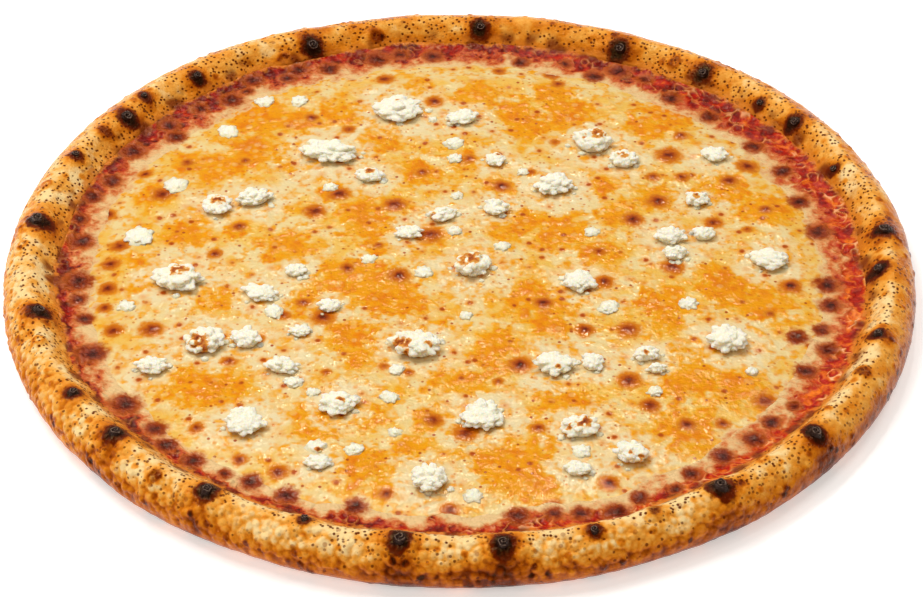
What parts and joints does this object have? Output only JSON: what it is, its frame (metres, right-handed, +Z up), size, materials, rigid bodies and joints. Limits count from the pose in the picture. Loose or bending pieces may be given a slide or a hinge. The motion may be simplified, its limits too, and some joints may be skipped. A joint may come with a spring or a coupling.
{
  "type": "pizza",
  "caption": "Round whole pizza: puffy blistered rim, ring of tomato sauce, melted cheese sheet and crumbles of soft white cheese, lying flat.",
  "frame": {"origin": "centre of the flat underside, on the surface that it rests on", "axes": "+Z up, -Y towards the side that the picture is taken from, +X to the right seen from there"},
  "size_m": [0.3002, 0.3003, 0.0188],
  "materials": {
    "baked_crust": null,
    "sauce": null,
    "melted_cheese": null,
    "white_cheese": null
  },
  "bodies": {
    "root": {"crust": "baked_crust", "tomato_sauce": "sauce", "melted_cheese": "melted_cheese", "crumble_01": "white_cheese", "crumble_02": "white_cheese", "crumble_03": "white_cheese", "crumble_04": "white_cheese", "crumble_05": "white_cheese", "crumble_06": "white_cheese", "crumble_07": "white_cheese", "crumble_08": "white_cheese", "crumble_09": "white_cheese", "crumble_10": "white_cheese", "crumble_11": "white_cheese", "crumble_12": "white_cheese", "crumble_13": "white_cheese", "crumble_14": "white_cheese", "crumble_15": "white_cheese", "crumble_16": "white_cheese", "crumble_17": "white_cheese", "crumble_18": "white_cheese", "crumble_19": "white_cheese", "crumble_20": "white_cheese", "crumble_21": "white_cheese", "crumble_22": "white_cheese", "crumble_23": "white_cheese", "crumble_24": "white_cheese", "crumble_25": "white_cheese", "crumble_26": "white_cheese", "crumble_27": "white_cheese", "crumble_28": "white_cheese", "crumble_29": "white_cheese", "crumble_30": "white_cheese", "crumble_31": "white_cheese", "crumble_32": "white_cheese", "crumble_33": "white_cheese", "crumble_34": "white_cheese", "crumble_35": "white_cheese", "crumble_36": "white_cheese", "crumble_37": "white_cheese", "crumble_38": "white_cheese", "crumble_39": "white_cheese", "crumble_40": "white_cheese", "crumble_41": "white_cheese", "crumble_42": "white_cheese", "crumble_43": "white_cheese", "crumble_44": "white_cheese"}
  },
  "joints": []
}
